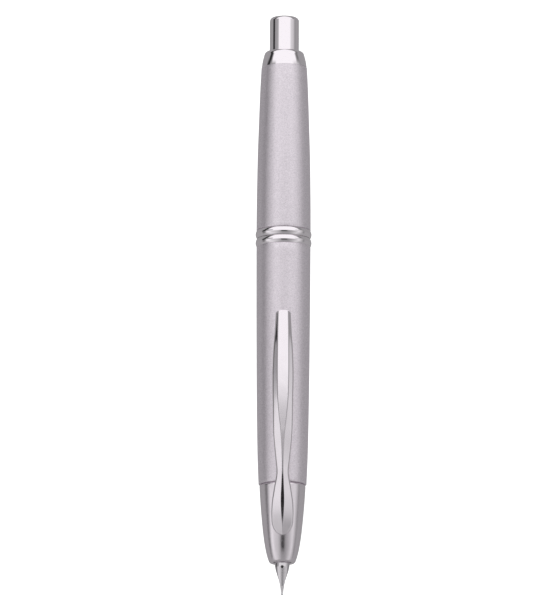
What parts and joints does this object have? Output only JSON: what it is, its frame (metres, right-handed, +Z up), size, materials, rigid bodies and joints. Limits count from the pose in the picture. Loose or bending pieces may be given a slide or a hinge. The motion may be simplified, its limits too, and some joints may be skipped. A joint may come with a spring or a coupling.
{
  "type": "retractable fountain pen",
  "caption": "Retractable fountain pen with a push button, a chrome nose with a shutter, a faceted spring clip, trim rings, a moving nib unit and a twist converter.",
  "frame": {"origin": "Centre of the bottom of the bounding box: the pen lies on a table on its trim rings, clip up, with the nib out.", "axes": "+X along the pen towards the push button, so the nib points to -X; +Y across the pen; +Z up through the clip."},
  "size_m": [0.1388, 0.0132, 0.0152],
  "materials": {
    "nose_cone": "polished chrome plate on brass",
    "shutter_housing": "moulded acetal",
    "shutter_pin": "ground steel",
    "shutter_flap": "pressed stainless sheet",
    "shutter_spring": "spring wire",
    "front_barrel": "silver metallic lacquer on brass",
    "inner_sleeve": "machined brass",
    "front_ring": "polished chrome plate",
    "return_spring": "spring wire",
    "clip": "chrome-plated spring steel",
    "nib": "rhodium-plated gold alloy",
    "nib_point": "hard tipping alloy",
    "feed": "black moulded plastic",
    "nib_holder": "nickel-plated brass",
    "converter_tube": "clear moulded plastic",
    "converter_seat": "soft seal",
    "converter_collar": "bright plated sleeve",
    "converter_knob": "black fluted plastic",
    "piston_rod": "black plastic screw",
    "piston_seal": "soft seal",
    "agitator_beads": "steel balls",
    "rear_barrel": "silver metallic lacquer on brass",
    "rear_ring": "polished chrome plate",
    "rear_insert": "machined brass",
    "rear_collar": "polished chrome plate",
    "cam_sleeve": "moulded acetal",
    "rotor": "moulded acetal",
    "cam_plunger": "moulded acetal",
    "knock_button": "polished chrome plate"
  },
  "bodies": {
    "front_half": {"nose_cone": "nose_cone", "shutter_housing": "shutter_housing", "shutter_pin": "shutter_pin", "shutter_spring": "shutter_spring", "front_barrel": "front_barrel", "inner_sleeve": "inner_sleeve", "front_ring": "front_ring", "return_spring": "return_spring"},
    "rear_half": {"rear_barrel": "rear_barrel", "rear_ring": "rear_ring", "rear_insert": "rear_insert", "rear_collar": "rear_collar", "cam_sleeve": "cam_sleeve"},
    "button": {"knock_button": "knock_button", "cam_plunger": "cam_plunger"},
    "rotor": {"rotor": "rotor"},
    "nib_unit": {"nib": "nib", "nib_point": "nib_point", "feed": "feed", "nib_holder": "nib_holder", "converter_tube": "converter_tube", "converter_seat": "converter_seat", "converter_collar": "converter_collar", "agitator_beads": "agitator_beads"},
    "converter_knob": {"converter_knob": "converter_knob"},
    "piston": {"piston_rod": "piston_rod", "piston_seal": "piston_seal"},
    "shutter": {"shutter_flap": "shutter_flap"},
    "clip": {"clip": "clip"}
  },
  "joints": [
    {"name": "rear_half_pull", "type": "slide", "parent": "front_half", "child": "rear_half", "axis": [1, 0, 0], "range_m": [0, 0.04]},
    {"name": "button_press", "type": "slide", "parent": "rear_half", "child": "button", "axis": [-1, 0, 0], "range_m": [-0.0132, 0.0003]},
    {"name": "rotor_turn", "type": "hinge", "parent": "button", "child": "rotor", "pos_m": [0.03735, 0, 0.0066], "axis": [1, 0, 0], "range_deg": [-62, 3]},
    {"name": "nib_unit_slide", "type": "slide", "parent": "front_half", "child": "nib_unit", "axis": [-1, 0, 0], "range_m": [-0.0133, 0.0004], "deforming": ["return_spring"]},
    {"name": "shutter_turn", "type": "hinge", "parent": "front_half", "child": "shutter", "pos_m": [-0.05065, 0, 0.00365], "axis": [0, -1, 0], "range_deg": [-27, 1]},
    {"name": "clip_flex", "type": "hinge", "parent": "front_half", "child": "clip", "pos_m": [-0.05425, 0, 0.01105], "axis": [0, -1, 0], "range_deg": [0, 2.5], "stiffness_Nm_per_rad": 4},
    {"name": "piston_slide", "type": "slide", "parent": "nib_unit", "child": "piston", "axis": [-1, 0, 0], "range_m": [0, 0.016]},
    {"name": "converter_twist", "type": "hinge", "parent": "nib_unit", "child": "converter_knob", "pos_m": [0.01035, 0, 0.0066], "axis": [1, 0, 0], "range_deg": [0, 1921]}
  ],
  "couplings": [
    {"joint": "nib_unit_slide", "follows": "button_press", "ratio": 1},
    {"joint": "rotor_turn", "follows": "button_press", "rad_per_m": 79.333},
    {"joint": "shutter_turn", "follows": "button_press", "rad_per_m": 35.039},
    {"joint": "converter_twist", "follows": "piston_slide", "rad_per_m": 2094.4}
  ]
}
